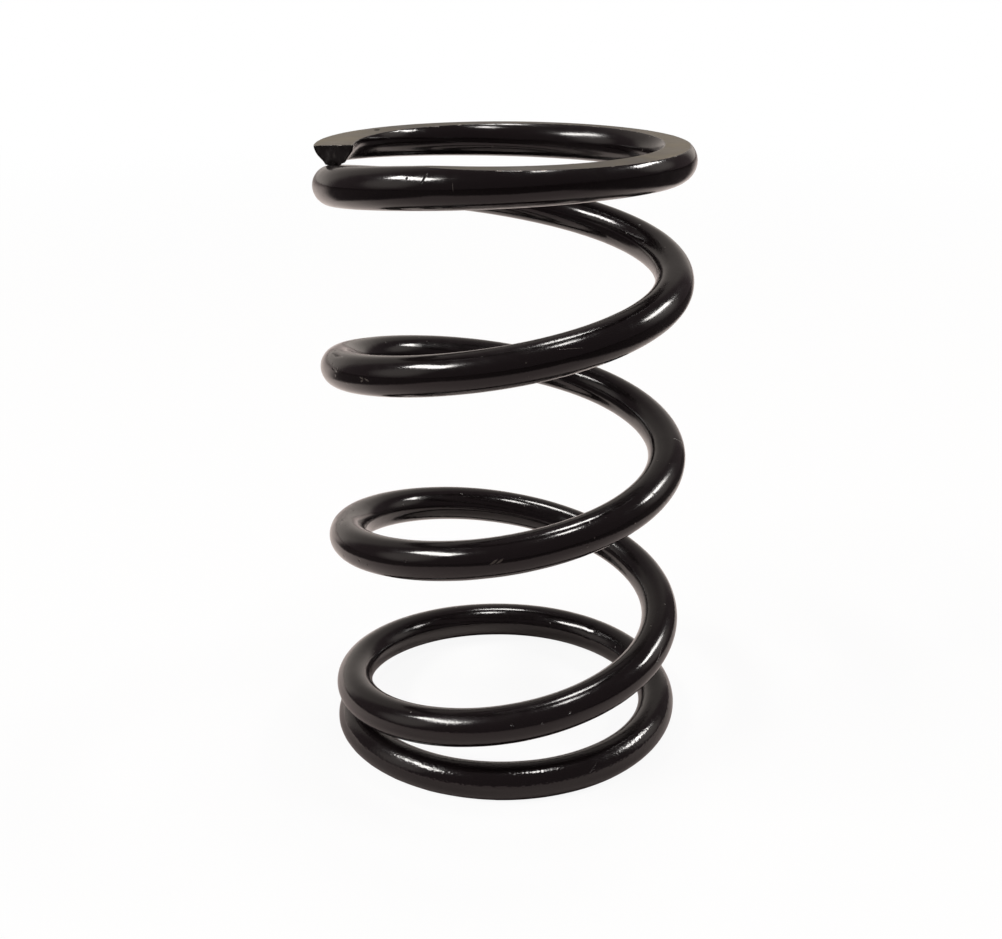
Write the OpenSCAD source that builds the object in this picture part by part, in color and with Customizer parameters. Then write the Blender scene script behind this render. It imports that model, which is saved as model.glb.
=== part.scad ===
// Clutch spring: a round-wire compression spring with closed and ground ends.
// One piece of wire, coiled right-handed. The origin is at the middle of the
// bottom ground face, and the coil's axis is +Z.

/* [Wire] */
// Diameter of the wire, with its paint
wire_d = 6; // [4:0.1:7.5]

/* [Coil] */
// Outside diameter of the coil
coil_od = 58.5; // [50:0.5:75]
// Height of the free spring between its two ground faces
free_length = 97.5; // [80:0.5:140]
// Number of turns from one wire end to the other
total_turns = 5.05; // [4.5:0.05:6]
// Thickness that grinding leaves at each wire end
tip_thickness = 2.6; // [1.5:0.1:3.8]
// Space between a wire end and the turn next to it
closed_gap = 0.3; // [0.1:0.05:1]
// Rise per turn of the coil just at a wire end
tip_pitch = 15; // [9:0.5:18]
// Part of a turn in which a closed end opens to the full pitch
opening_turns = 0.7; // [0.6:0.05:0.8]

/* [Lower end] */
// Direction of the wire end, seen from above
lower_end_angle = 168; // [0:2:358]
// Part of a turn in which the first rise dies out
lower_tip_turns = 0.3; // [0.25:0.05:0.5]
// Turns from the wire end to where the coil starts to open
lower_closed_turns = 0.75; // [0.6:0.025:0.8]

/* [Upper end] */
// Part of a turn in which the first rise dies out
upper_tip_turns = 0.5; // [0.25:0.05:0.5]
// Turns from the wire end to where the coil starts to open
upper_closed_turns = 0.625; // [0.6:0.025:0.8]
// How much smaller the coil's radius is at the wire end
upper_draw_in = 0.6; // [0:0.1:1.5]
// Turns from the wire end to where the coil has its full radius
upper_draw_in_turns = 1.5; // [1:0.1:2]

/* [Hidden] */

// Sides of the wire's section, sections in one turn of the coil, and fineness of the grinding cuts
SIDES = 16;
SECTIONS_PER_TURN = 50;
GRIND_FN = 96;

wire_r = wire_d / 2;
coil_r = coil_od / 2 - wire_r;
// A polygon of this radius has the same area as the round wire
section_r = wire_r * sqrt(2 * PI / SIDES / sin(360 / SIDES));
sections = round(SECTIONS_PER_TURN * total_turns);
half_turns = total_turns / 2;

// Curves from 0 to 1, each with the area under it from the left: one eases in and out,
// and the other starts at once and eases out
function smooth(u) = let (c = min(max(u, 0), 1)) c * c * (3 - 2 * c);
function smooth_area(u) = u >= 1 ? u - 1 / 2 : pow(u, 3) - pow(u, 4) / 2;
function ease(u) = let (c = min(max(u, 0), 1)) c * (2 - c);
function ease_area(u) = u <= 0 ? 0 : u >= 1 ? u - 1 / 3 : pow(u, 2) - pow(u, 3) / 3;

// From a wire end e, given as [tip turns, closed turns], the rise per turn falls from tip_pitch
// to a flat pitch, then grows to the full pitch. Up to t turns from the end, the tip's pitch,
// the full pitch and the flat pitch have these shares in the turns.
LOWER = [lower_tip_turns, lower_closed_turns];
UPPER = [upper_tip_turns, upper_closed_turns];
function tip_part(e, t) = t - e[0] * smooth_area(t / e[0]);
function open_part(e, t) = opening_turns * ease_area((t - e[1]) / opening_turns);
function flat_part(e, t) = t - tip_part(e, t) - open_part(e, t);

// The flat pitch makes the first whole turn rise by one wire and the gap, so that the end closes
// on the next turn. The full pitch makes both halves of the coil add up to the free length.
function flat_ratio(e) = flat_part(e, half_turns) / flat_part(e, 1);
function closed_rise(e) = wire_d + closed_gap - tip_pitch * tip_part(e, 1);
function fixed_rise(e) = tip_thickness - wire_r + tip_pitch * tip_part(e, half_turns)
    + flat_ratio(e) * closed_rise(e);
function open_rise(e) = open_part(e, half_turns) - flat_ratio(e) * open_part(e, 1);
full_pitch = (free_length - fixed_rise(LOWER) - fixed_rise(UPPER))
    / (open_rise(LOWER) + open_rise(UPPER));
function flat_pitch(e) = (closed_rise(e) - full_pitch * open_part(e, 1)) / flat_part(e, 1);

// Rise per turn at t turns from the wire end e, and height of the wire's middle there
function end_pitch(e, t) = let (
    tip = 1 - smooth(t / e[0]),
    open = ease((t - e[1]) / opening_turns))
    tip_pitch * tip + flat_pitch(e) * (1 - tip - open) + full_pitch * open;
function end_height(e, t) = tip_thickness - wire_r + tip_pitch * tip_part(e, t)
    + flat_pitch(e) * flat_part(e, t) + full_pitch * open_part(e, t);

// The same at t turns from the lower end, for the whole coil
function pitch_at(t) = t <= half_turns ? end_pitch(LOWER, t) : end_pitch(UPPER, total_turns - t);
function height_at(t) = t <= half_turns ? end_height(LOWER, t)
    : free_length - end_height(UPPER, total_turns - t);

// Point and direction of the wire's middle line, whose radius shrinks towards the upper end
function angle_at(t) = lower_end_angle + 360 * t;
function radius_at(t) = coil_r
    - upper_draw_in * (1 - smooth((total_turns - t) / upper_draw_in_turns));
function point_at(t) = [
    radius_at(t) * cos(angle_at(t)), radius_at(t) * sin(angle_at(t)), height_at(t)];
function unit(v) = v / norm(v);
function direction_at(t) = unit([
    -2 * PI * coil_r * sin(angle_at(t)), 2 * PI * coil_r * cos(angle_at(t)), pitch_at(t)]);

// Corners of the wire's section at t turns, square to the wire
function section_at(t) = let (
    out = [cos(angle_at(t)), sin(angle_at(t)), 0],
    up = cross(out, direction_at(t)))
    [for (k = [0 : SIDES - 1]) let (a = 360 * k / SIDES)
        point_at(t) + section_r * (cos(a) * out + sin(a) * up)];

// The whole wire, swept along its middle line
module coiled_wire() {
    points = [for (i = [0 : sections]) each section_at(total_turns * i / sections)];
    sides = [for (i = [0 : sections - 1], k = [0 : SIDES - 1]) let (
        a = i * SIDES + k,
        b = i * SIDES + (k + 1) % SIDES)
        each [[a, b + SIDES, a + SIDES], [a, b, b + SIDES]]];
    lower_end = [for (k = [SIDES - 1 : -1 : 0]) k];
    upper_end = [for (k = [0 : SIDES - 1]) sections * SIDES + k];
    polyhedron(points = points, faces = concat(sides, [lower_end, upper_end]));
}

// What the grinding wheel takes off above the height z, from far outside the coil
module ground_off(z) {
    translate([0, 0, z]) cylinder(h = wire_d, r = coil_od, $fn = GRIND_FN);
}

module clutch_spring() {
    color([0.08, 0.08, 0.08]) difference() {
        coiled_wire();
        ground_off(free_length);
        mirror([0, 0, 1]) ground_off(0);
    }
}

clutch_spring();
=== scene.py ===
# %% [markdown]
# A clutch spring in gloss black paint.
# The real spring is one length of round steel wire, wound hot or cold into a coil, closed at both
# ends, ground flat on a wheel and then dipped in black paint. This lesson follows the same order:
# a straight wire is made, wound along the coil's middle line, and ground flat at both ends.
# The paint, its wear and the studio come last.
#
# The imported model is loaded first. It fixes where the spring stands and how large it is.

# %% Load the frame
import math

import bpy
from mathutils import Matrix, Vector, noise


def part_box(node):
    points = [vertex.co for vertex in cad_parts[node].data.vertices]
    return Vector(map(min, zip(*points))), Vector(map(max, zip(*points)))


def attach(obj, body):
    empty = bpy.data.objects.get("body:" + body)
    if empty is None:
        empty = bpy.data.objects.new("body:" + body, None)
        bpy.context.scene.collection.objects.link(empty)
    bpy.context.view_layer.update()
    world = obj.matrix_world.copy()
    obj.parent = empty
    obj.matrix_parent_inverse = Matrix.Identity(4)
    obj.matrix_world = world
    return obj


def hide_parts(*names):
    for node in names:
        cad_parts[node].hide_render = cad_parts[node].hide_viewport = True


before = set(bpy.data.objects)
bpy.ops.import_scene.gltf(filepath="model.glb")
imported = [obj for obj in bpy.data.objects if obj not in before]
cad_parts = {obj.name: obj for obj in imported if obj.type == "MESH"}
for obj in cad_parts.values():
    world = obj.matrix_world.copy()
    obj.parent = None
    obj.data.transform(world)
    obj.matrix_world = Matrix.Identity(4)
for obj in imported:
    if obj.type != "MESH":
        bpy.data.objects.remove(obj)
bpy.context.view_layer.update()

NODE = "clutch_spring"
low_corner, high_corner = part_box(NODE)
print("the solid's box in mm:", [round(1000 * (b - a), 2) for a, b in zip(low_corner, high_corner)])

# %% [markdown]
# The camera stands where the photographer's did. Its distance, height and tilt were found by
# laying the coil over the photograph's outline until both agreed to about one pixel. It is made
# before the spring, so that each later step can be looked at from the same place.

# %% Camera
MM = 0.001
CAMERA_PLACE = Vector((-0.73, -204.1, 123.9)) * MM
CAMERA_TILT_DOWN = 21.2
CAMERA_ROLL = 0.14
LENS_MM = 47.73
SENSOR_MM = 36.0
# The nearest and the farthest thing that the camera sees, in metres
CAMERA_REACH = (0.01, 20)

bpy.ops.object.camera_add(location=CAMERA_PLACE)
camera = bpy.context.object
camera.name = "camera"
turn_down = Matrix.Rotation(math.radians(90 - CAMERA_TILT_DOWN), 4, "X")
roll = Matrix.Rotation(math.radians(-CAMERA_ROLL), 4, "Z")
camera.matrix_world = Matrix.Translation(CAMERA_PLACE) @ turn_down @ roll
camera.data.lens = LENS_MM
camera.data.sensor_width = SENSOR_MM
camera.data.clip_start, camera.data.clip_end = CAMERA_REACH
bpy.context.scene.camera = camera
print("camera is", round(camera.location.length * 1000), "mm from the spring's foot")

# %% [markdown]
# The coil is set by the same few sizes as the solid: wire, outside diameter, free length and
# turns. Near each end the wire first rises steeply, lies nearly flat where the end is closed, and
# then opens to the full pitch. Smooth curves join these pitches, and the area under each curve
# gives the height, so that there is no kink anywhere along the wire.

# %% Sizes of the coil
WIRE_D = 6.0 * MM
COIL_OD = 58.5 * MM
FREE_LENGTH = high_corner[2] - low_corner[2]
TOTAL_TURNS = 5.05
TIP_THICKNESS = 2.6 * MM
CLOSED_GAP = 0.3 * MM
TIP_PITCH = 15.0 * MM
OPENING_TURNS = 0.7
LOWER_END_ANGLE = math.radians(168)
# Each end has its turns of steep tip, and its turns until the coil starts to open
LOWER = (0.3, 0.75)
UPPER = (0.5, 0.625)
# The upper end is wound a little smaller
UPPER_DRAW_IN = 0.6 * MM
UPPER_DRAW_IN_TURNS = 1.5

wire_r = WIRE_D / 2
coil_r = COIL_OD / 2 - wire_r
half_turns = TOTAL_TURNS / 2


def smooth_area(u):
    """Area under the curve that eases in and out."""
    return u - 1 / 2 if u >= 1 else u ** 3 - u ** 4 / 2


def ease_area(u):
    """Area under the curve that starts at once and eases out."""
    return 0 if u <= 0 else u - 1 / 3 if u >= 1 else u ** 2 - u ** 3 / 3


def parts(end, t):
    """Turns that the tip's pitch, the flat pitch and the full pitch have worked for by t turns."""
    tip_turns, closed_turns = end
    tip = t - tip_turns * smooth_area(t / tip_turns)
    full = OPENING_TURNS * ease_area((t - closed_turns) / OPENING_TURNS)
    return tip, t - tip - full, full


# %% [markdown]
# Two conditions fix the two pitches that are not given. One whole turn from a wire end, the wire
# has risen by its own diameter and a small gap, so the end closes on the next turn. And the two
# halves of the coil have to add up to the free length.

# %% Pitch and height along the wire
def fixed_and_full(end):
    """Half a coil's height without the full pitch, and the turns for which that pitch counts."""
    tip_1, flat_1, full_1 = parts(end, 1)
    tip, flat, full = parts(end, half_turns)
    closed_rise = WIRE_D + CLOSED_GAP - TIP_PITCH * tip_1
    fixed = TIP_THICKNESS - wire_r + TIP_PITCH * tip + flat / flat_1 * closed_rise
    return fixed, full - flat / flat_1 * full_1


ends = [fixed_and_full(end) for end in (LOWER, UPPER)]
FULL_PITCH = (FREE_LENGTH - sum(e[0] for e in ends)) / sum(e[1] for e in ends)


def end_height(end, t):
    """Height of the wire's middle above the ground face, t turns from that end."""
    tip_1, flat_1, full_1 = parts(end, 1)
    flat_pitch = (WIRE_D + CLOSED_GAP - TIP_PITCH * tip_1 - FULL_PITCH * full_1) / flat_1
    tip, flat, full = parts(end, t)
    return TIP_THICKNESS - wire_r + TIP_PITCH * tip + flat_pitch * flat + FULL_PITCH * full


def middle(t):
    """Point on the wire's middle line, t turns from the lower end."""
    angle = LOWER_END_ANGLE + 2 * math.pi * t
    near_top = min((TOTAL_TURNS - t) / UPPER_DRAW_IN_TURNS, 1)
    radius = coil_r - UPPER_DRAW_IN * (1 - near_top ** 2 * (3 - 2 * near_top))
    if t <= half_turns:
        z = end_height(LOWER, t)
    else:
        z = FREE_LENGTH - end_height(UPPER, TOTAL_TURNS - t)
    return Vector((radius * math.cos(angle), radius * math.sin(angle), z))


print("full pitch in mm:", round(1000 * FULL_PITCH, 2))

# %% [markdown]
# The middle line becomes a curve of many short straight steps. A curve can carry a mesh along
# itself, which is just what a winding machine does with straight wire.

# %% The winding line
STEPS_PER_TURN = 300
steps = round(STEPS_PER_TURN * TOTAL_TURNS)

winding = bpy.data.curves.new("winding", "CURVE")
winding.dimensions = "3D"
winding.twist_mode = "Z_UP"
line = winding.splines.new("POLY")
line.points.add(steps)
for i, point in enumerate(line.points):
    point.co = (*middle(TOTAL_TURNS * i / steps), 1)
wire_length = line.calc_length()
winding_line = bpy.data.objects.new("winding_line", winding)
bpy.context.collection.objects.link(winding_line)
print("wire length in mm:", round(1000 * wire_length, 1))

# %% [markdown]
# The wire starts as stock does: straight and round. A cylinder along X gives its section and its
# two ends. Its long edges are then cut across twice, which leaves a ring of points at every
# two thirds of a millimetre. A wire that has to bend needs that many, and one mesh with even
# rings also lets every later mark be placed by its distance along the wire.

# %% The straight wire
WIRE_SIDES = 64
CUTS = 35
# Finishes of the wire's faces: its round body, the ground faces, their rims and the sheared ends
BODY, GROUND, RIM, SHEARED = range(4)


def select_only(obj):
    """Makes obj the one selected and active object."""
    bpy.ops.object.select_all(action="DESELECT")
    obj.select_set(True)
    bpy.context.view_layer.objects.active = obj


def pick(obj, edges=None, faces=None):
    """Selects only the edges or faces for which the given test is true."""
    mesh = obj.data
    bpy.context.tool_settings.mesh_select_mode = (False, faces is None, faces is not None)
    for vertex in mesh.vertices:
        vertex.select = False
    for face in mesh.polygons:
        face.select = False
    for edge in mesh.edges:
        edge.select = edges is not None and edges(edge)
    if faces is not None:
        for face in mesh.polygons:
            face.select = faces(face)


def run_in_edit_mode(operator, **settings):
    """Runs one operator on what is selected in the active object."""
    bpy.ops.object.mode_set(mode="EDIT")
    operator(**settings)
    bpy.ops.object.mode_set(mode="OBJECT")


bpy.ops.object.select_all(action="DESELECT")
bpy.ops.mesh.primitive_cylinder_add(
    vertices=WIRE_SIDES, radius=wire_r, depth=wire_length,
    location=(wire_length / 2, 0, 0), rotation=(0, math.pi / 2, 0))
wire = bpy.context.object
wire.name = "spring_wire"
bpy.ops.object.transform_apply(location=True, rotation=True, scale=True)


def run_of(edge):
    """Distance along the wire that an edge spans."""
    a, b = (wire.data.vertices[v].co.x for v in edge.vertices)
    return abs(a - b)


for ring_gap in (wire_length, wire_length / (CUTS + 1)):
    pick(wire, edges=lambda edge: run_of(edge) > ring_gap / 2)
    run_in_edit_mode(bpy.ops.mesh.subdivide, number_cuts=CUTS)
point_count = len(wire.data.vertices)
print("straight wire:", point_count, "points in", point_count // WIRE_SIDES, "rings")

# %% [markdown]
# Spring wire is cropped in a shear. The blade leaves a face that is a little torn, with a soft
# edge all round once it is painted. So the end's rim gets a small bevel, and the face inside it
# gets rings by inset, whose points then move in and out by a noise.

# %% The sheared ends
BEVEL_SEGMENTS = 3
END_BEVEL = 0.18 * MM
# Points closer than this along the wire count as level
LEVEL_WITHIN = END_BEVEL / 10
# A face counts as square to the wire when its normal lies along the wire by this much
SQUARE_TO_WIRE = 0.99
TORN_RINGS = 4
TORN_STEP = 0.6 * MM
TORN_DEPTH = 0.07 * MM
TORN_GRAIN = 1.4 * MM
# Share of the wire's radius over which the tearing grows from nothing at the rim
TORN_EDGE = 0.25


def at_end(x):
    """Whether a distance along the wire is that of one of its two ends."""
    return x < LEVEL_WITHIN or x > wire_length - LEVEL_WITHIN


pick(wire, edges=lambda edge: run_of(edge) < LEVEL_WITHIN and all(
    at_end(wire.data.vertices[v].co.x) for v in edge.vertices))
run_in_edit_mode(bpy.ops.mesh.bevel, offset=END_BEVEL, segments=BEVEL_SEGMENTS, affect="EDGES")
for _ in range(TORN_RINGS):
    pick(wire, faces=lambda face: len(face.vertices) == WIRE_SIDES)
    run_in_edit_mode(bpy.ops.mesh.inset, thickness=TORN_STEP)

for _ in (BODY, GROUND, RIM, SHEARED):
    wire.data.materials.append(None)
torn = [
    f for f in wire.data.polygons if abs(f.normal.x) > SQUARE_TO_WIRE and at_end(f.center.x)]
for face in torn:
    face.material_index = SHEARED
for i in {v for face in torn for v in face.vertices}:
    point = wire.data.vertices[i]
    inside_rim = 1 - math.hypot(point.co.y, point.co.z) / wire_r
    tear = noise.noise(point.co / TORN_GRAIN)
    point.co.x += TORN_DEPTH * min(1, inside_rim / TORN_EDGE) * tear
print("torn faces:", len(torn))

# %% [markdown]
# A pattern that runs with the wire needs coordinates that do so too. The wire still lies straight
# here, so this is the moment to write them down: a UV map holds the distance along the wire and
# the distance round it, both in metres. Its seam is put on the underside.

# %% Coordinates along and round the wire
def around(place):
    """Angle round the wire: 0 is up, and a quarter turn is the coil's outside."""
    return math.atan2(-place.y, place.z)


unrolled = wire.data.uv_layers.active
unrolled.name = "along_and_round"
for face in wire.data.polygons:
    places = [wire.data.vertices[v].co for v in face.vertices]
    angles = [around(p) for p in places]
    if max(angles) - min(angles) > math.pi:
        angles = [a if a > 0 else a + 2 * math.pi for a in angles]
    for loop, place, angle in zip(face.loop_indices, places, angles):
        unrolled.data[loop].uv = (place.x, angle * wire_r)
print("unrolled wire in mm:", round(1000 * wire_length), "by", round(2000 * math.pi * wire_r, 1))

# %% [markdown]
# No painted wire is perfectly round. The paint lies a few hundredths of a millimetre thicker in
# some places, and a highlight shows that at once, because its edges waver. Two Displace modifiers
# with a soft noise do this in the mesh: one broad and one fine.

# %% Uneven paint
# Name, size of the lumps, and how far the surface swings from its lowest to its highest
UNEVENNESS = (
    ("broad_unevenness", 7 * MM, 0.05 * MM), ("fine_unevenness", 2.2 * MM, 0.012 * MM))

for name, size, swing in UNEVENNESS:
    lumps = bpy.data.textures.new(name, "CLOUDS")
    lumps.noise_scale = size
    swell = wire.modifiers.new(name, "DISPLACE")
    swell.texture = lumps
    swell.texture_coords = "LOCAL"
    swell.strength = swing
    swell.mid_level = 0.5
    select_only(wire)
    bpy.ops.object.modifier_apply(modifier=swell.name)
print("paint unevenness added")

# %% [markdown]
# The photograph shows a few real marks: a nick on the right of the top turn, a dull dent on the
# lowest turn at the back, a scratch on the left bend of the second turn, small knocks, and a lower
# end whose inner corner is rounded off. Each is pressed into the straight wire at its distance
# along it, as a shallow bowl with a soft edge. The shear has also pushed a ragged burr out of the
# lower edge of the upper end, down to the turn below it.

# %% Knocks and the burr
# Distance along the wire in mm, angle round it in degrees, and half length, half width and depth
# in mm
KNOCKS = (
    (736.3, 101, 1.4, 1.1, 0.08), (109.8, -48, 1.4, 3.2, 0.08), (585.7, -62, 2.0, 1.0, 0.04),
    (818.5, 60, 1.4, 1.0, 0.06), (715.0, 52, 1.2, 0.8, 0.05), (343.3, 17, 1.6, 1.2, 0.03),
    (0.3, -45, 3.5, 2.4, 0.4), (516.2, 28, 3.4, 0.55, 0.12))
BURR_ANGLE = math.radians(181)
BURR_SPREAD = math.radians(46)
BURR_REACH = 1.6 * MM
BURR_DROP = 0.7 * MM
BURR_GRAIN = 0.45 * MM
# The burr leans past the wire's end, only the outer part of the wire moves, and its edge is ragged
BURR_LEAN = Vector((0.5, 0, 0))
BURR_INNER_RADIUS = wire_r / 2
BURR_RAGGED = 0.9


def bowl(distance):
    """Depth of a soft-edged bowl, 1 at its middle and 0 from a distance of 1."""
    return (1 - min(distance, 1) ** 2) ** 2


def angle_between(a, b):
    """The shorter way round from one angle to another."""
    return abs((a - b + math.pi) % (2 * math.pi) - math.pi)


for point in wire.data.vertices:
    place = point.co.copy()
    angle = around(place)
    outwards = Vector((0, place.y, place.z)).normalized()
    for along, degrees, half_length, half_width, depth in KNOCKS:
        run = abs(place.x - along * MM) / (half_length * MM)
        if run < 1:
            side = wire_r * angle_between(angle, math.radians(degrees)) / (half_width * MM)
            point.co -= outwards * depth * MM * bowl(math.hypot(run, side))
    from_end = (wire_length - place.x) / BURR_REACH
    if from_end < 1 and math.hypot(place.y, place.z) > BURR_INNER_RADIUS:
        share = bowl(angle_between(angle, BURR_ANGLE) / BURR_SPREAD) * (1 - from_end)
        ragged = 1 + BURR_RAGGED * noise.noise(place / BURR_GRAIN)
        point.co += (outwards + BURR_LEAN) * BURR_DROP * share * ragged
print("knocks pressed in:", len(KNOCKS))

# %% [markdown]
# The Curve modifier now winds the wire: it carries the mesh along the winding line, and keeps the
# side that was up pointing up the coil.

# %% Wind the wire
wind = wire.modifiers.new("wind", "CURVE")
wind.object = winding_line
wind.deform_axis = "POS_X"
select_only(wire)
bpy.ops.object.modifier_apply(modifier=wind.name)
bpy.data.objects.remove(winding_line)
print("wound wire in mm:", [round(1000 * d, 2) for d in wire.dimensions])

# %% [markdown]
# A grinding wheel takes off whatever stands past the two end planes, and bisect does the same: it
# cuts the mesh at a plane, clears what lies outside and fills the cut with one flat face. The
# spring was painted after it was ground, so the new edges aren't knife sharp. A narrow bevel
# rounds them, and it catches the fine lines of light that the photograph shows on the rims.

# %% Grind both ends
# A face counts as ground when it is at least this large, in square metres, and this level
FLAT_AREA = 1e-5
LEVEL = 0.999
CUT_TOLERANCE = 0.0001 * MM
RIM_BEVEL = 0.12 * MM
SHORT_EDGE = 0.08 * MM

for height, direction in ((0, -1), (FREE_LENGTH, 1)):
    pick(wire, faces=lambda face: True)
    run_in_edit_mode(
        bpy.ops.mesh.bisect, plane_co=(0, 0, height), plane_no=(0, 0, direction),
        threshold=CUT_TOLERANCE, use_fill=True, clear_outer=True)


def ground_faces():
    """The large level faces that the wheel has left, one at each end."""
    return [f for f in wire.data.polygons if f.area > FLAT_AREA and abs(f.normal.z) > LEVEL]


def rim_edges():
    """The edges round the ground faces, each as the numbers of its two points."""
    return {key for face in ground_faces() for key in face.edge_keys}


print("ground faces in mm2:", [round(1e6 * f.area, 1) for f in ground_faces()])
for step, settings in (
        (bpy.ops.mesh.remove_doubles, {"threshold": SHORT_EDGE}),
        (bpy.ops.mesh.bevel, {
            "offset": RIM_BEVEL, "segments": BEVEL_SEGMENTS, "affect": "EDGES",
            "clamp_overlap": False, "material": RIM})):
    rims = rim_edges()
    pick(wire, edges=lambda edge: tuple(sorted(edge.vertices)) in rims)
    run_in_edit_mode(step, **settings)
for face in ground_faces():
    face.material_index = GROUND
print("rim faces:", sum(f.material_index == RIM for f in wire.data.polygons))

# %% [markdown]
# Smooth shading hides the mesh's small faces. The edges of the ground faces are marked sharp
# first, or else their flat shading would bend towards the rims.

# %% Shade smooth
SMOOTH_UP_TO = math.radians(50)
rims = rim_edges()
for edge in wire.data.edges:
    edge.use_edge_sharp = tuple(sorted(edge.vertices)) in rims
select_only(wire)
bpy.ops.object.shade_smooth_by_angle(angle=SMOOTH_UP_TO, keep_sharp_edges=True)
print("sharp edges:", len(rims))

# %% [markdown]
# The finishes are built from nodes. Two small helpers keep that readable: one starts a finish
# from the Principled shader, and the other adds a node and links or sets its inputs.

# %% Helpers for finishes
def new_finish(name):
    """A material whose Principled shader is at hand."""
    finish = bpy.data.materials.new(name)
    finish.use_nodes = True
    return finish, finish.node_tree.nodes["Principled BSDF"]


def add(finish, kind, inputs, **settings):
    """Adds a node. An input that is given as a socket is linked, and any other value is set."""
    node = finish.node_tree.nodes.new("ShaderNode" + kind)
    for name, value in settings.items():
        setattr(node, name, value)
    feed(finish, node, inputs)
    return node.outputs


def feed(finish, node, inputs):
    """Links or sets the inputs of a node."""
    for name, value in inputs.items():
        if isinstance(value, bpy.types.NodeSocket):
            finish.node_tree.links.new(value, node.inputs[name])
        else:
            node.inputs[name].default_value = value


def math_node(finish, operation, *values):
    """A number worked out from other numbers."""
    return add(finish, "Math", dict(enumerate(values)), operation=operation)[0]


def grade(finish, value, low, high, to_low=0.0, to_high=1.0):
    """Stretches a number from one range to another, with an eased start and end."""
    return add(finish, "MapRange", {
        "Value": value, "From Min": low, "From Max": high, "To Min": to_low, "To Max": to_high},
        interpolation_type="SMOOTHSTEP")[0]


def cloud(finish, place, grain, detail=2.0, stretch=(1, 1, 1)):
    """Noise from 0 to 1 with lumps of the given size in metres. Stretch draws it out."""
    scale = [1 / (grain * s) for s in stretch]
    spread = add(finish, "Mapping", {"Vector": place, "Scale": scale})[0]
    return add(finish, "TexNoise", {"Vector": spread, "Scale": 1.0, "Detail": detail})[0]


def blend(finish, share, first, second):
    """A colour between two colours."""
    return add(finish, "Mix", {0: share, 6: first, 7: second}, data_type="RGBA")[2]


def times(finish, value, factor):
    """A number times another."""
    return math_node(finish, "MULTIPLY", value, factor)


def add_bump(finish, shader, layers):
    """Bumps from patterns, each given with its height in metres."""
    heights = [times(finish, pattern, height) for pattern, height in layers]
    total = heights[0]
    for height in heights[1:]:
        total = math_node(finish, "ADD", total, height)
    bump = add(finish, "Bump", {"Height": total, "Distance": 1.0, "Strength": 1.0})[0]
    feed(finish, shader, {"Normal": bump})


# %% [markdown]
# The paint is a thin, hard, gloss black enamel. Close up it isn't a mirror: it has a slight
# orange peel, faint lines that the drawn wire passes on, grains of dust that dried into it, pits
# clustered in a few places, and some scratches. The lowest turn is sandy, which breaks its
# highlights into many small glints. All of it is laid out along and round the wire, so it bends
# with the coil. Numbers that are the same all over are set on the shader itself.

# %% Black paint
PAINT_BLACK = (0.0056, 0.0040, 0.0044, 1)
PAINT_DUST = (0.075, 0.066, 0.058, 1)
PAINT_IOR = 1.6
PEEL = 1.5 * MM
DRAWN_LINE = 0.22 * MM
SMUDGE = 9 * MM
CLUSTER = 11 * MM
CLUSTER_EDGE = (0.5, 0.68)
# The sand ends between two distances along the wire. Shares of it are left on the rest of the
# wire and in the clusters.
SAND = 0.32 * MM
SAND_ENDS = (85 * MM, 105 * MM)
SAND_ELSEWHERE = 0.2
SAND_IN_CLUSTERS = 0.5
# Specks lie in cells this far apart and reach from a core to an edge, both in shares of a cell.
# A cell has one when its luck is over a limit, which is lower in a cluster.
SPECK_GAP = 1.3 * MM
SPECK_REACH = (0.07, 0.17)
SPECK_LIMIT = 0.96
CLUSTER_LUCK = 0.34

black_paint, shader = new_finish("gloss_black_paint")
place = add(black_paint, "UVMap", {}, uv_map="along_and_round")[0]

peel = cloud(black_paint, place, PEEL)
sand = cloud(black_paint, place, SAND, detail=0.0)
drawn = cloud(black_paint, place, DRAWN_LINE, detail=1.0, stretch=(60, 1, 1))
smudge = cloud(black_paint, place, SMUDGE, detail=4.0, stretch=(2, 1, 1))
cluster = grade(black_paint, cloud(black_paint, place, CLUSTER), *CLUSTER_EDGE)

along = add(black_paint, "SeparateXYZ", {0: place})[0]
sandy = math_node(
    black_paint, "MAXIMUM", grade(black_paint, along, *SAND_ENDS, 1, SAND_ELSEWHERE),
    times(black_paint, cluster, SAND_IN_CLUSTERS))

cells = add(black_paint, "Mapping", {"Vector": place, "Scale": [1 / SPECK_GAP] * 3})[0]
speck_cell = add(black_paint, "TexVoronoi", {"Vector": cells, "Scale": 1.0})
speck_luck = add(black_paint, "SeparateColor", {0: speck_cell["Color"]})[0]
speck_dot = grade(black_paint, speck_cell["Distance"], *SPECK_REACH, 1, 0)
limit = math_node(
    black_paint, "SUBTRACT", SPECK_LIMIT, times(black_paint, cluster, CLUSTER_LUCK))
speck = times(black_paint, speck_dot, math_node(black_paint, "GREATER_THAN", speck_luck, limit))
print("speckled paint:", len(black_paint.node_tree.nodes), "nodes")

# %% [markdown]
# The larger marks in the paint are placed one by one. Each is a stretched spherical gradient: 1
# along its middle, and 0 at its edge. A long thin one is a scratch, and a round one is a pit.

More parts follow.
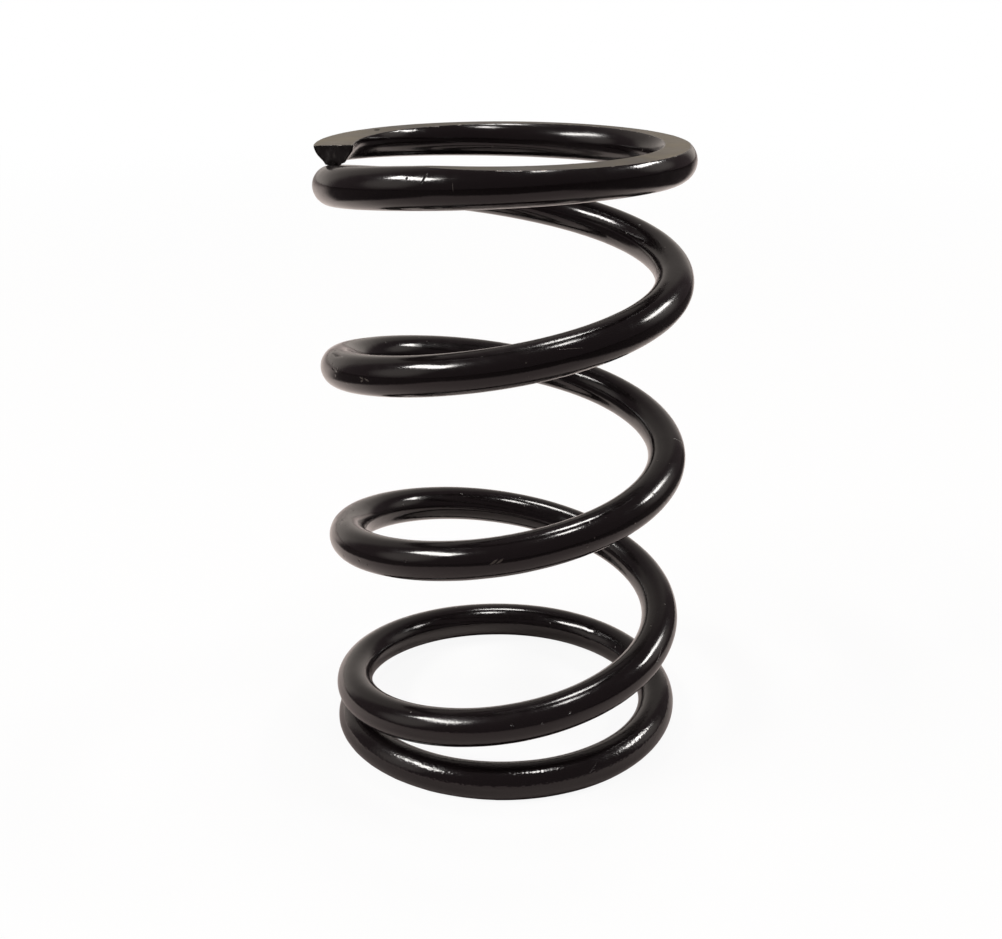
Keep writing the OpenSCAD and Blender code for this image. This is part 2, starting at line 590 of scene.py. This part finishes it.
# %% Scratches and pits in the paint
# Distance along the wire in mm, angle round it in degrees, length and width in mm, and turn of
# the mark on the wire in degrees. Some scratches hold dust, and the bare ones are only dents.
DUSTY_SCRATCHES = (
    (378.2, 79, 1.7, 0.36, -32), (379.0, 79, 1.6, 0.36, -32), (707.3, 80, 1.5, 0.14, 88),
    (526.1, 84, 1.1, 0.34, 15), (526.1, 92, 0.9, 0.34, -28), (527.1, 88, 1.2, 0.36, 27),
    (556.0, 60, 4.0, 0.12, 12), (640.0, -30, 3.4, 0.12, 25), (480.0, 110, 5.0, 0.11, 6),
    (770.0, 100, 2.4, 0.12, -30))
BARE_SCRATCHES = (
    (703.6, 56, 1.5, 0.34, -68), (240.0, 66, 3.2, 0.24, -20), (420.0, 40, 2.6, 0.24, 70),
    (60.0, 58, 2.2, 0.24, -35), (150.0, 20, 3.0, 0.22, 55), (516.2, 28, 6.2, 0.60, 0),
    (518.8, 74, 2.0, 0.40, 10))
# Distance along the wire in mm, angle round it in degrees and width in mm
PITS = (
    (343.3, 17, 0.56), (341.8, 8, 0.40), (345.0, 27, 0.46), (339.4, 2, 0.38), (336.8, -12, 0.50),
    (347.2, 14, 0.34), (344.1, 40, 0.46), (346.0, 48, 0.36), (340.6, 30, 0.36), (356.2, 95, 0.50),
    (358.0, 102, 0.38), (351.5, 104, 0.44), (603.2, -22, 0.50), (598.7, -56, 0.46),
    (221.7, 67, 0.46), (213.3, 62, 0.38), (217.5, 75, 0.34), (701.2, 55, 0.40), (512.7, 45, 0.50),
    (512.7, 17, 0.50), (519.1, 90, 0.44), (108.6, -40, 0.60), (365.6, 70, 0.44))
# How far in from its edge a scratch has all its dust
SCRATCH_FULL_FROM = 0.6


def spot(finish, place, middle, size, turn=0):
    """A stretched spot: 1 at its middle, and 0 at half its size away from there."""
    near = add(finish, "Mapping", {
        "Vector": place, "Location": middle, "Rotation": (0, 0, math.radians(turn)),
        "Scale": [s / 2 for s in size]}, vector_type="TEXTURE")[0]
    return add(finish, "TexGradient", {"Vector": near}, gradient_type="SPHERICAL")[1]


def mark(along, degrees, length, width, turn=0):
    """One mark in the paint, in millimetres and degrees."""
    on_wire = (along * MM, math.radians(degrees) * wire_r, 0)
    return spot(black_paint, place, on_wire, (length * MM, width * MM, 1), turn)


def strongest(marks):
    """Joins marks into one pattern."""
    total = marks[0]
    for one in marks[1:]:
        total = math_node(black_paint, "MAXIMUM", total, one)
    return total


scratch = strongest([mark(*s) for s in DUSTY_SCRATCHES])
scratch = grade(black_paint, scratch, 0, SCRATCH_FULL_FROM)
dents = [mark(*s) for s in BARE_SCRATCHES]
dents += [mark(distance, degrees, width, width) for distance, degrees, width in PITS]
pit = strongest(dents)
print("marks placed:", len(DUSTY_SCRATCHES) + len(dents))

# %% [markdown]
# The parts of the pattern come together in three ways. They lighten the black a little where dust
# sits, they make it rougher in smudges and scratches, and they add up to a height for the bumps.

# %% Put the paint together
SPECK_DUST = 0.5
SCRATCH_DUST = 0.9
# Each noise counts from one value to another, and adds roughness from one value to another
SMUDGE_SPAN = (0.42, 0.8)
SMUDGE_ROUGH = (0.0, 0.14)
PEEL_SPAN = (0.3, 0.7)
PEEL_ROUGH = (0.10, 0.15)
DUST_ROUGH = 0.35
PIT_ROUGH = 0.6
PEEL_HEIGHT = 0.007 * MM
SAND_HEIGHT = 0.022 * MM
DRAWN_HEIGHT = 0.0015 * MM
SPECK_HEIGHT = 0.022 * MM
SCRATCH_DEPTH = 0.025 * MM
PIT_DEPTH = 0.2 * MM

dusty = math_node(
    black_paint, "MAXIMUM", times(black_paint, speck, SPECK_DUST),
    times(black_paint, scratch, SCRATCH_DUST))
rough = math_node(
    black_paint, "ADD", grade(black_paint, smudge, *SMUDGE_SPAN, *SMUDGE_ROUGH),
    grade(black_paint, peel, *PEEL_SPAN, *PEEL_ROUGH))
rough = math_node(black_paint, "ADD", rough, times(black_paint, dusty, DUST_ROUGH))
rough = math_node(black_paint, "MAXIMUM", rough, times(black_paint, pit, PIT_ROUGH))
feed(black_paint, shader, {
    "Base Color": blend(black_paint, dusty, PAINT_BLACK, PAINT_DUST),
    "Roughness": rough, "IOR": PAINT_IOR})
add_bump(black_paint, shader, (
    (peel, PEEL_HEIGHT), (times(black_paint, sand, sandy), SAND_HEIGHT), (drawn, DRAWN_HEIGHT),
    (speck, SPECK_HEIGHT), (scratch, -SCRATCH_DEPTH), (pit, -PIT_DEPTH)))
print("black paint:", len(black_paint.node_tree.nodes), "nodes")

# %% [markdown]
# The ground faces are painted too, but thinly over the grinder's lines, so they are satin. The
# lines run straight across the end. Where the spring has rubbed on its seats, most of all at the
# left and the right, the paint is thin and the warm grey of the steel shows through. One pit in
# the upper face, not far from the wire end, is large enough to be placed by itself.

# %% Ground face
GROUND_PAINT = (0.026, 0.022, 0.014, 1)
GROUND_WORN = (0.17, 0.145, 0.10, 1)
GRINDING_TURN = math.radians(28)
GRINDING_LINE = 0.25 * MM
PATCH = 6 * MM
GRIT = 0.5 * MM
# Paint goes thin in patches, and towards the sides between two distances from the middle. Both
# are strongest along some of the grinder's lines.
PATCH_WORN_FROM = (0.42, 0.72)
PATCH_WEAR = 0.4
RUBBED_FROM = (15 * MM, 27 * MM)
RUB_WEAR = 0.55
LINE_SPAN = (0.3, 0.6)
LINE_WEAR = (0.5, 1)
# Middle and size of the pit in the upper face
FACE_PIT = (-20.6 * MM, 15.6 * MM, FREE_LENGTH)
FACE_PIT_SIZE = (1.3 * MM, 3.6 * MM, 2.0 * MM)
FACE_PIT_EDGE = (0.1, 0.5)
PATCH_SPAN = (0.3, 0.7)
GROUND_ROUGH = (0.36, 0.5)
LINE_HEIGHT = 0.006 * MM
GRIT_HEIGHT = 0.008 * MM
PATCH_HEIGHT = 0.01 * MM
FACE_PIT_DEPTH = 0.4 * MM

ground_paint, shader = new_finish("ground_face")
place = add(ground_paint, "TexCoord", {})["Object"]
across = add(ground_paint, "Mapping", {"Vector": place, "Rotation": (0, 0, GRINDING_TURN)})[0]
lines = cloud(ground_paint, across, GRINDING_LINE, detail=3.0, stretch=(50, 1, 1))
patches = cloud(ground_paint, place, PATCH, detail=5.0)
grit = cloud(ground_paint, place, GRIT)
sideways = math_node(ground_paint, "ABSOLUTE", add(ground_paint, "SeparateXYZ", {0: place})[0])
worn = math_node(
    ground_paint, "ADD",
    times(ground_paint, grade(ground_paint, patches, *PATCH_WORN_FROM), PATCH_WEAR),
    grade(ground_paint, sideways, *RUBBED_FROM, 0, RUB_WEAR))
worn = times(ground_paint, worn, grade(ground_paint, lines, *LINE_SPAN, *LINE_WEAR))
face_pit = spot(ground_paint, place, FACE_PIT, FACE_PIT_SIZE)
face_pit = grade(ground_paint, face_pit, *FACE_PIT_EDGE)
worn = times(ground_paint, worn, math_node(ground_paint, "SUBTRACT", 1, face_pit))
rough = grade(ground_paint, patches, *PATCH_SPAN, *GROUND_ROUGH)
feed(ground_paint, shader, {
    "Base Color": blend(ground_paint, worn, GROUND_PAINT, GROUND_WORN),
    "Roughness": math_node(ground_paint, "MAXIMUM", face_pit, rough), "IOR": PAINT_IOR})
add_bump(ground_paint, shader, (
    (lines, LINE_HEIGHT), (grit, GRIT_HEIGHT), (patches, PATCH_HEIGHT),
    (face_pit, -FACE_PIT_DEPTH)))
print("ground face:", len(ground_paint.node_tree.nodes), "nodes")

# %% [markdown]
# The rims and the sheared ends get finishes of their own. On a rim the paint is thin, and here and
# there it is rubbed through to steel. On a sheared end it sinks into torn metal and stays dull.

# %% Rims and sheared ends
RIM_STEEL = (0.28, 0.26, 0.24, 1)
TORN_BLACK = (0.011, 0.0095, 0.009, 1)
TORN_GREY = (0.05, 0.045, 0.04, 1)
# Sizes of the patterns, the noise values they count from and to, and what they do
RIM_PATCH = 1.1 * MM
RIM_RUBBED_FROM = (0.56, 0.66)
RIM_METALLIC = 0.8
RIM_ROUGH = (0.2, 0.38)
RIM_GRAIN = 0.4 * MM
RIM_HEIGHT = 0.015 * MM
TEAR = 0.6 * MM
TEAR_GREY_FROM = (0.5, 0.75)
TEAR_SPAN = (0.3, 0.7)
TEAR_ROUGH = (0.28, 0.5)
TEAR_HEIGHT = 0.12 * MM

rim_paint, shader = new_finish("worn_rim")
place = add(rim_paint, "TexCoord", {})["Object"]
rubbed = grade(rim_paint, cloud(rim_paint, place, RIM_PATCH, detail=4.0), *RIM_RUBBED_FROM)
feed(rim_paint, shader, {
    "Base Color": blend(rim_paint, rubbed, PAINT_BLACK, RIM_STEEL),
    "Metallic": times(rim_paint, rubbed, RIM_METALLIC),
    "Roughness": grade(rim_paint, rubbed, 0, 1, *RIM_ROUGH), "IOR": PAINT_IOR})
add_bump(rim_paint, shader, [(cloud(rim_paint, place, RIM_GRAIN), RIM_HEIGHT)])

torn_metal, shader = new_finish("sheared_end")
place = add(torn_metal, "TexCoord", {})["Object"]
tear = cloud(torn_metal, place, TEAR, detail=6.0, stretch=(1, 1, 2.5))
grey = grade(torn_metal, tear, *TEAR_GREY_FROM)
feed(torn_metal, shader, {
    "Base Color": blend(torn_metal, grey, TORN_BLACK, TORN_GREY),
    "Roughness": grade(torn_metal, tear, *TEAR_SPAN, *TEAR_ROUGH), "IOR": PAINT_IOR})
add_bump(torn_metal, shader, [(tear, TEAR_HEIGHT)])

for slot, finish in (
        (BODY, black_paint), (GROUND, ground_paint), (RIM, rim_paint), (SHEARED, torn_metal)):
    wire.data.materials[slot] = finish
print("finishes on the wire:", [m.name for m in wire.data.materials])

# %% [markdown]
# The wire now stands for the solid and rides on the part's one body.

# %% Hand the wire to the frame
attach(wire, "root")
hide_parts(NODE)
print("triangles:", sum(len(f.vertices) - 2 for f in wire.data.polygons))

# %% [markdown]
# Black gloss shows little of itself and much of the studio, so the studio matters as much as the
# paint. Its plan was worked out backwards from the reflections in the photograph. The spring
# stands on a white sheet, about 24 cm wide, that ends 16 cm in front of it and rises to a white
# backdrop behind. In front of that, the room is dark.
#
# The table is one large circle. The camera sees it white, with a share of its own light so that
# no horizon shows, and the spring's soft shadow stays. For reflections and soft light, the sheet's
# colour carries painted light and shade: it is brightest behind the spring, where more light falls,
# and darker towards the camera.

# %% Table
TABLE_RADIUS = 3.0
TABLE_SIDES = 96
# Places in metres: where the sheet fades out in front and at its sides, and where its painted light
# grows
SHEET_FRONT_EDGE = (-0.17, -0.145)
SHEET_MIDDLE = -0.008
SHEET_SIDE_EDGE = (0.105, 0.13)
SHEET_PAINTED_LIGHT_GROWS = (-0.09, 0.06)
BACKDROP_TURN = math.radians(10.5)
BACKDROP_HALF_ANGLE = (math.radians(51), math.radians(34))
# The table's own light has one share near the spring and another farther off
GLOW_GROWS = (0.25, 0.8)
GLOW_SHARE = (0.92, 1)
TABLE_ROUGH = 0.9
TABLE_SPECULAR = 0.1
SEEN_WHITE = (0.85, 0.85, 0.85, 1)
# The white sheet's colour with painted shade in front and painted light behind the spring
SHEET_FRONT_PAINTED_SHADE = (0.42, 0.355, 0.357, 1)
SHEET_BACK_PAINTED_LIGHT = (0.86, 0.78, 0.745, 1)
TABLE_DARK = (0.055, 0.046, 0.048, 1)

bpy.ops.object.select_all(action="DESELECT")
bpy.ops.mesh.primitive_circle_add(
    vertices=TABLE_SIDES, radius=TABLE_RADIUS, fill_type="NGON")
table = bpy.context.object
table.name = "table"


def shown(finish):
    """1 for the rays that show the background itself, from the camera or through glass."""
    rays = add(finish, "LightPath", {})
    return math_node(finish, "MAXIMUM", rays["Is Camera Ray"], rays["Is Transmission Ray"])


def before_backdrop(finish, x, y):
    """1 for directions or places before the backdrop, which is turned a little to the left."""
    aside = math_node(finish, "ADD", math_node(finish, "ARCTAN2", x, y), BACKDROP_TURN)
    return grade(finish, math_node(finish, "ABSOLUTE", aside), *reversed(BACKDROP_HALF_ANGLE), 1, 0)


table_top, shader = new_finish("table_top")
place = add(table_top, "TexCoord", {})["Object"]
from_foot = add(table_top, "VectorMath", {0: place}, operation="LENGTH")["Value"]
x, y = add(table_top, "SeparateXYZ", {0: place})[:2]
off_middle = math_node(table_top, "SUBTRACT", x, SHEET_MIDDLE)
off_middle = math_node(table_top, "ABSOLUTE", off_middle)
on_sheet = times(
    table_top, grade(table_top, y, *SHEET_FRONT_EDGE),
    grade(table_top, off_middle, *SHEET_SIDE_EDGE, 1, 0))
on_sheet = math_node(table_top, "MAXIMUM", on_sheet, before_backdrop(table_top, x, y))
# The sheet's colour goes from painted shade in front to painted light behind
sheet = blend(table_top, grade(table_top, y, *SHEET_PAINTED_LIGHT_GROWS), SHEET_FRONT_PAINTED_SHADE, SHEET_BACK_PAINTED_LIGHT)
sheet = blend(table_top, on_sheet, TABLE_DARK, sheet)
seen = shown(table_top)
feed(table_top, shader, {
    "Base Color": blend(table_top, seen, sheet, SEEN_WHITE), "Roughness": TABLE_ROUGH,
    "Specular IOR Level": TABLE_SPECULAR})
glow_share = times(table_top, seen, grade(table_top, from_foot, *GLOW_GROWS, *GLOW_SHARE))
glow = add(table_top, "Emission", {"Strength": 1.0})[0]
top = add(table_top, "MixShader", {0: glow_share, 1: shader.outputs[0], 2: glow})[0]
feed(table_top, table_top.node_tree.nodes["Material Output"], {"Surface": top})
table.data.materials.append(table_top)
print("table:", len(table_top.node_tree.nodes), "nodes")

# %% [markdown]
# The world is the rest of the studio. The camera sees plain white. Reflections see the backdrop
# behind the spring, brightest at its foot and fading upwards. Everywhere else there is a dim,
# slightly warm room, with a soft patch of grey low at each side that fills the bends.

# %% World
ROOM = (0.118, 0.092, 0.097, 1)
BACKDROP_FOOT = (0.71, 0.64, 0.59, 1)
BACKDROP_TOP = (0.30, 0.27, 0.25, 1)
FOOT_TO_TOP = (0.0, 0.5)
TOP_TO_ROOM = (0.55, 0.9)
FILL_GREY = (0.60, 0.54, 0.51, 1)
PLAIN_WHITE = (1, 1, 1, 1)
# Azimuth, elevation and reach in degrees
FILLS = ((-77, 22, 24), (104, 19, 20))


def towards(azimuth, elevation):
    """A direction. Azimuth 0 is towards the camera and grows to the right; angles in degrees."""
    az, el = math.radians(azimuth), math.radians(elevation)
    return Vector((math.sin(az) * math.cos(el), -math.cos(az) * math.cos(el), math.sin(el)))


studio = bpy.data.worlds.new("studio")
studio.use_nodes = True
bpy.context.scene.world = studio
way = add(studio, "TexCoord", {})["Generated"]
x, y, z = add(studio, "SeparateXYZ", {0: way})
light = ROOM
for azimuth, elevation, reach in FILLS:
    closeness = add(
        studio, "VectorMath", {0: way, 1: towards(azimuth, elevation)},
        operation="DOT_PRODUCT")["Value"]
    in_fill = grade(studio, closeness, math.cos(math.radians(reach)), 1)
    light = blend(studio, in_fill, light, FILL_GREY)
backdrop = blend(studio, grade(studio, z, *FOOT_TO_TOP), BACKDROP_FOOT, BACKDROP_TOP)
mirrored = times(studio, before_backdrop(studio, x, y), grade(studio, z, *TOP_TO_ROOM, 1, 0))
mirrored = times(studio, mirrored, add(studio, "LightPath", {})["Is Glossy Ray"])
light = blend(studio, mirrored, light, backdrop)
light = blend(studio, shown(studio), light, PLAIN_WHITE)
feed(studio, studio.node_tree.nodes["Background"], {"Color": light})
print("world:", len(studio.node_tree.nodes), "nodes")

# %% [markdown]
# Four soft lamps stand far off. Each highlight on the coil gave the direction and the size of one
# lamp: a wide one high on the left, one on the right, and small ones overhead and behind.

# %% Lamps
LAMP_DISTANCE = 1.2
LAMP_LEVEL = 22.0
LAMP_TINT = (1.0, 0.97, 0.94)
AIM = Vector((0, 0, FREE_LENGTH / 2))
# Name, azimuth, elevation, width and height, all as angles in degrees
LAMPS = (
    ("left_lamp", -75, 46.5, 29, 10), ("right_lamp", 104, 34, 22, 8),
    ("over_lamp", 44, 74, 9, 8), ("back_lamp", 167, 74, 11, 10))


def lamp(name, azimuth, elevation, width, height):
    """A rectangular lamp that looks at the spring."""
    way = towards(azimuth, elevation)
    wide = 2 * LAMP_DISTANCE * math.tan(math.radians(width / 2))
    high = 2 * LAMP_DISTANCE * math.tan(math.radians(height / 2))
    bpy.ops.object.light_add(type="AREA", location=AIM + way * LAMP_DISTANCE)
    light = bpy.context.object
    light.name = name
    light.rotation_euler = way.to_track_quat("Z", "Y").to_euler()
    light.data.shape = "RECTANGLE"
    light.data.size = wide
    light.data.size_y = high
    light.data.energy = LAMP_LEVEL * math.pi * wide * high
    light.data.color = LAMP_TINT
    print(name, round(light.data.energy, 2), "W")


for settings in LAMPS:
    lamp(*settings)

# %% [markdown]
# Last, the view is set to plain Standard.

# %% Finish
bpy.context.scene.view_settings.view_transform = "Standard"
